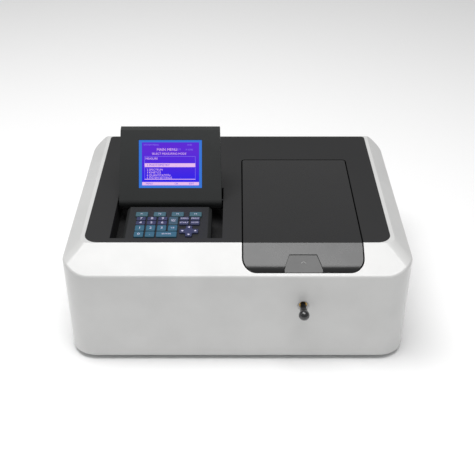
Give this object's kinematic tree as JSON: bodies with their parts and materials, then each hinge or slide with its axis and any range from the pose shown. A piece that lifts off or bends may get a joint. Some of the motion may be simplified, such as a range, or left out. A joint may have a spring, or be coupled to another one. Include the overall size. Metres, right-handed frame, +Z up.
{
  "type": "double-beam spectrophotometer",
  "caption": "Benchtop double-beam spectrophotometer: keypad bay, tilting display head, hinged sample lid and pull-rod cell changer over full inner optics.",
  "frame": {"origin": "centre of the footprint, on the table", "axes": "+X to the user's right, +Y to the rear, +Z up"},
  "size_m": [0.476, 0.3932, 0.2611],
  "materials": {
    "shell_white": "fine textured moulding",
    "panel_dark": "matt moulding",
    "bezel_dark": "satin moulding",
    "lid_dark": "satin moulding",
    "grip_dark": "satin moulding",
    "keypad_dark": "matt moulding",
    "key_steel_blue": "matt elastomer",
    "key_purple": "matt elastomer",
    "key_blue": "matt elastomer",
    "key_teal": "matt elastomer",
    "screen": "lit display",
    "rubber_black": "matt",
    "sheet_steel": "powder coated",
    "steel": "turned",
    "zinc_screw": "zinc plated",
    "tub_black": "matt black",
    "anodised_black": "black anodised",
    "cast_aluminium": "as cast",
    "knob_black": "polished",
    "quartz": "polished",
    "lamp_glass": "clear",
    "mirror_glass": "aluminised",
    "grating_glass": "ruled",
    "bush_brass": "turned",
    "board_green": "solder mask",
    "black_plastic": "moulded",
    "motor_black": "painted",
    "wheel_aluminium": "anodised",
    "legend_ink": "printed",
    "can_metal": "nickel plated"
  },
  "bodies": {
    "casing": {"upper_shell": "shell_white", "base_tray": "sheet_steel", "feet": "rubber_black", "casing_screws": "zinc_screw", "top_panel": "panel_dark", "keypad_plate": "keypad_dark", "display_hinge_pin": "steel", "sample_tub": "tub_black", "lid_hinge_pin": "steel", "reference_holder": "anodised_black", "rod_bush": "bush_brass", "rear_panel": "sheet_steel", "mains_inlet": "black_plastic", "fan_frame": "black_plastic", "power_supply": "sheet_steel", "main_board": "board_green", "lamp_house": "cast_aluminium", "deuterium_lamp": "lamp_glass", "tungsten_lamp": "lamp_glass", "monochromator": "cast_aluminium", "wavelength_motor": "motor_black", "mirrors": "mirror_glass", "detectors": "can_metal"},
    "lid": {"sample_lid": "lid_dark", "lid_grip": "grip_dark"},
    "display_head": {"display_front": "bezel_dark", "display_back": "bezel_dark", "lcd_screen": "screen"},
    "carriage": {"cell_carriage": "anodised_black", "cuvettes": "quartz", "pull_rod": "steel", "pull_knob": "knob_black"},
    "power_switch": {"power_switch": "black_plastic"},
    "source_mirror": {"source_mirror": "mirror_glass"},
    "grating": {"grating": "grating_glass"},
    "filter_wheel": {"filter_wheel": "wheel_aluminium"},
    "fan_rotor": {"fan_rotor": "black_plastic"},
    "key_zero": {"key_zero": "key_blue"},
    "key_point": {"key_point": "key_blue"},
    "key_enter": {"key_enter": "key_blue"},
    "key_one": {"key_one": "key_blue"},
    "key_two": {"key_two": "key_blue"},
    "key_three": {"key_three": "key_blue"},
    "key_clear": {"key_clear": "key_blue"},
    "key_four": {"key_four": "key_purple"},
    "key_five": {"key_five": "key_purple"},
    "key_six": {"key_six": "key_purple"},
    "key_goto": {"key_goto": "key_teal"},
    "key_seven": {"key_seven": "key_purple"},
    "key_eight": {"key_eight": "key_purple"},
    "key_nine": {"key_nine": "key_purple"},
    "key_start": {"key_start": "key_purple"},
    "key_stop": {"key_stop": "key_purple"},
    "key_blank": {"key_blank": "key_purple"},
    "key_print": {"key_print": "key_purple"},
    "soft_key_1": {"soft_key_1": "key_steel_blue"},
    "soft_key_2": {"soft_key_2": "key_steel_blue"},
    "soft_key_3": {"soft_key_3": "key_steel_blue"},
    "soft_key_4": {"soft_key_4": "key_steel_blue"},
    "cursor_pad": {"cursor_pad": "key_purple"}
  },
  "joints": [
    {"name": "lid_hinge", "type": "hinge", "parent": "casing", "child": "lid", "pos_m": [0.0885, 0.09413, 0.1643], "axis": [-1, 0, 0], "range_deg": [0, 90]},
    {"name": "display_tilt", "type": "hinge", "parent": "casing", "child": "display_head", "pos_m": [-0.098, -0.00887, 0.167], "axis": [1, 0, 0], "range_deg": [-22, 18]},
    {"name": "carriage_slide", "type": "slide", "parent": "casing", "child": "carriage", "axis": [0, -1, 0], "range_m": [0, 0.06]},
    {"name": "power_rocker", "type": "hinge", "parent": "casing", "child": "power_switch", "pos_m": [0.15, 0.19162, 0.0695], "axis": [1, 0, 0], "range_deg": [-16, 0]},
    {"name": "source_swing", "type": "hinge", "parent": "casing", "child": "source_mirror", "pos_m": [-0.06, 0.12062, 0.084], "axis": [0, 0, 1], "range_deg": [0, 90]},
    {"name": "grating_turn", "type": "hinge", "parent": "casing", "child": "grating", "pos_m": [-0.16, -0.01937, 0.084], "axis": [0, 0, 1], "range_deg": [-30, 30]},
    {"name": "filter_turn", "type": "hinge", "parent": "casing", "child": "filter_wheel", "pos_m": [-0.08, 0.05663, 0.084], "axis": [0, 1, 0], "continuous": true},
    {"name": "fan_spin", "type": "hinge", "parent": "casing", "child": "fan_rotor", "pos_m": [-0.065, 0.18, 0.068], "axis": [0, 1, 0], "continuous": true},
    {"name": "key_zero_press", "type": "slide", "parent": "casing", "child": "key_zero", "axis": [0, 0, -1], "range_m": [0, 0.0012], "stiffness_N_per_m": 500, "springref_m": -0.0006},
    {"name": "key_point_press", "type": "slide", "parent": "casing", "child": "key_point", "axis": [0, 0, -1], "range_m": [0, 0.0012], "stiffness_N_per_m": 500, "springref_m": -0.0006},
    {"name": "key_enter_press", "type": "slide", "parent": "casing", "child": "key_enter", "axis": [0, 0, -1], "range_m": [0, 0.0012], "stiffness_N_per_m": 500, "springref_m": -0.0006},
    {"name": "key_one_press", "type": "slide", "parent": "casing", "child": "key_one", "axis": [0, 0, -1], "range_m": [0, 0.0012], "stiffness_N_per_m": 500, "springref_m": -0.0006},
    {"name": "key_two_press", "type": "slide", "parent": "casing", "child": "key_two", "axis": [0, 0, -1], "range_m": [0, 0.0012], "stiffness_N_per_m": 500, "springref_m": -0.0006},
    {"name": "key_three_press", "type": "slide", "parent": "casing", "child": "key_three", "axis": [0, 0, -1], "range_m": [0, 0.0012], "stiffness_N_per_m": 500, "springref_m": -0.0006},
    {"name": "key_clear_press", "type": "slide", "parent": "casing", "child": "key_clear", "axis": [0, 0, -1], "range_m": [0, 0.0012], "stiffness_N_per_m": 500, "springref_m": -0.0006},
    {"name": "key_four_press", "type": "slide", "parent": "casing", "child": "key_four", "axis": [0, 0, -1], "range_m": [0, 0.0012], "stiffness_N_per_m": 500, "springref_m": -0.0006},
    {"name": "key_five_press", "type": "slide", "parent": "casing", "child": "key_five", "axis": [0, 0, -1], "range_m": [0, 0.0012], "stiffness_N_per_m": 500, "springref_m": -0.0006},
    {"name": "key_six_press", "type": "slide", "parent": "casing", "child": "key_six", "axis": [0, 0, -1], "range_m": [0, 0.0012], "stiffness_N_per_m": 500, "springref_m": -0.0006},
    {"name": "key_goto_press", "type": "slide", "parent": "casing", "child": "key_goto", "axis": [0, 0, -1], "range_m": [0, 0.0012], "stiffness_N_per_m": 500, "springref_m": -0.0006},
    {"name": "key_seven_press", "type": "slide", "parent": "casing", "child": "key_seven", "axis": [0, 0, -1], "range_m": [0, 0.0012], "stiffness_N_per_m": 500, "springref_m": -0.0006},
    {"name": "key_eight_press", "type": "slide", "parent": "casing", "child": "key_eight", "axis": [0, 0, -1], "range_m": [0, 0.0012], "stiffness_N_per_m": 500, "springref_m": -0.0006},
    {"name": "key_nine_press", "type": "slide", "parent": "casing", "child": "key_nine", "axis": [0, 0, -1], "range_m": [0, 0.0012], "stiffness_N_per_m": 500, "springref_m": -0.0006},
    {"name": "key_start_press", "type": "slide", "parent": "casing", "child": "key_start", "axis": [0, 0, -1], "range_m": [0, 0.0012], "stiffness_N_per_m": 500, "springref_m": -0.0006},
    {"name": "key_stop_press", "type": "slide", "parent": "casing", "child": "key_stop", "axis": [0, 0, -1], "range_m": [0, 0.0012], "stiffness_N_per_m": 500, "springref_m": -0.0006},
    {"name": "key_blank_press", "type": "slide", "parent": "casing", "child": "key_blank", "axis": [0, 0, -1], "range_m": [0, 0.0012], "stiffness_N_per_m": 500, "springref_m": -0.0006},
    {"name": "key_print_press", "type": "slide", "parent": "casing", "child": "key_print", "axis": [0, 0, -1], "range_m": [0, 0.0012], "stiffness_N_per_m": 500, "springref_m": -0.0006},
    {"name": "soft_key_1_press", "type": "slide", "parent": "casing", "child": "soft_key_1", "axis": [0, 0, -1], "range_m": [0, 0.0012], "stiffness_N_per_m": 500, "springref_m": -0.0006},
    {"name": "soft_key_2_press", "type": "slide", "parent": "casing", "child": "soft_key_2", "axis": [0, 0, -1], "range_m": [0, 0.0012], "stiffness_N_per_m": 500, "springref_m": -0.0006},
    {"name": "soft_key_3_press", "type": "slide", "parent": "casing", "child": "soft_key_3", "axis": [0, 0, -1], "range_m": [0, 0.0012], "stiffness_N_per_m": 500, "springref_m": -0.0006},
    {"name": "soft_key_4_press", "type": "slide", "parent": "casing", "child": "soft_key_4", "axis": [0, 0, -1], "range_m": [0, 0.0012], "stiffness_N_per_m": 500, "springref_m": -0.0006},
    {"name": "cursor_pad_press", "type": "slide", "parent": "casing", "child": "cursor_pad", "axis": [0, 0, -1], "range_m": [0, 0.0012], "stiffness_N_per_m": 500, "springref_m": -0.0006}
  ]
}
